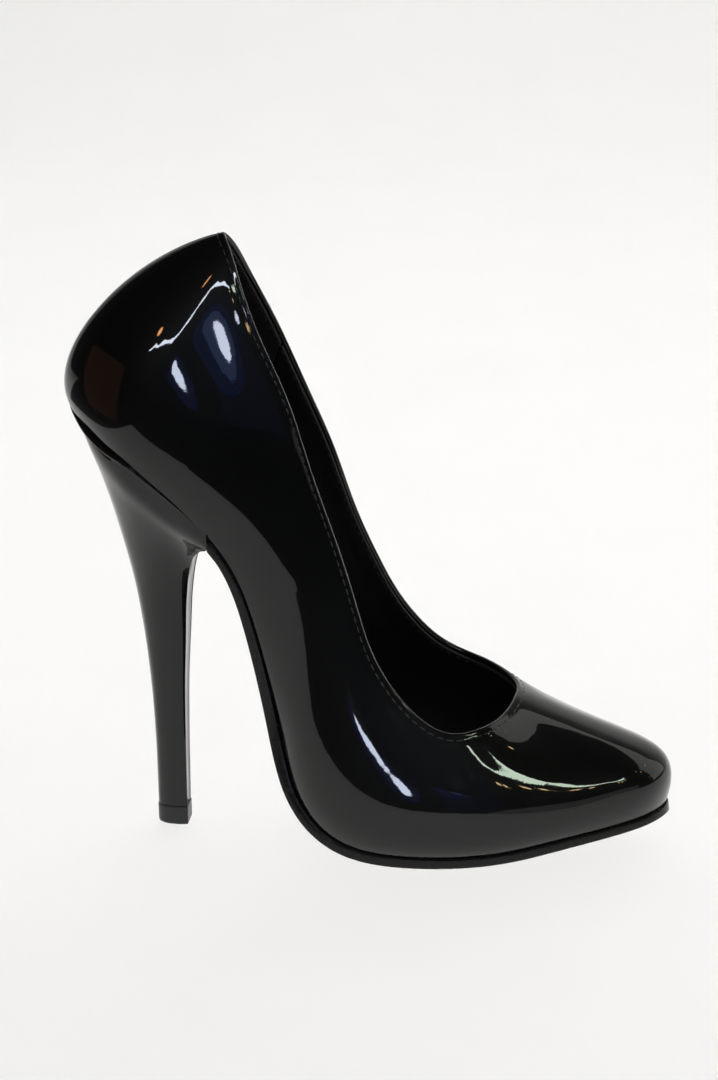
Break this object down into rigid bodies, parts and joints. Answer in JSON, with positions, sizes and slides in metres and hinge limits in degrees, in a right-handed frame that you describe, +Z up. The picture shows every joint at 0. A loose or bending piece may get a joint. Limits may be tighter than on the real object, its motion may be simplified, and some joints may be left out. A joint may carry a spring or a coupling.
{
  "type": "high heel pump",
  "caption": "Closed pointed-toe court shoe for the right foot on a tall slim covered heel, with a low-cut opening and thin sole.",
  "frame": {"origin": "on the floor, under the middle of the shoe's bounding box, standing on its top piece and ball tread", "axes": "+X from the heel to the toe, +Y to the inner (medial) side of the foot, +Z up"},
  "size_m": [0.1851, 0.0771, 0.191],
  "materials": {
    "upper": "black patent, mirror gloss",
    "backing": "stiffened non-woven, matte",
    "tape": "woven tape, matte",
    "lining": "black, satin",
    "foam": "open foam, matte",
    "board": "pressed fibre board, matte",
    "filler": "felt, matte",
    "steel": "plain steel",
    "sole": "black, lightly polished",
    "heel_core": "moulded, matte",
    "heel_cover": "black patent, mirror gloss",
    "top_piece": "hard polyurethane, satin"
  },
  "bodies": {
    "root": {"upper": "upper", "heel_counter": "backing", "toe_puff": "backing", "side_backing_lateral": "backing", "side_backing_medial": "backing", "topline_tape": "tape", "heel_grip": "lining", "quarter_lining_lateral": "lining", "quarter_lining_medial": "lining", "vamp_lining": "lining", "sock_lining": "lining", "sock_foam": "foam", "insole_board": "board", "shank_board": "board", "bottom_filler": "filler", "steel_shank": "steel", "shank_rivets": "steel", "heel_screw": "steel", "heel_nails": "steel", "heel_tube": "steel", "top_piece_pin": "steel", "outsole": "sole", "heel_core": "heel_core", "heel_cover": "heel_cover", "heel_breast_cover": "heel_cover", "top_piece": "top_piece"}
  },
  "joints": []
}
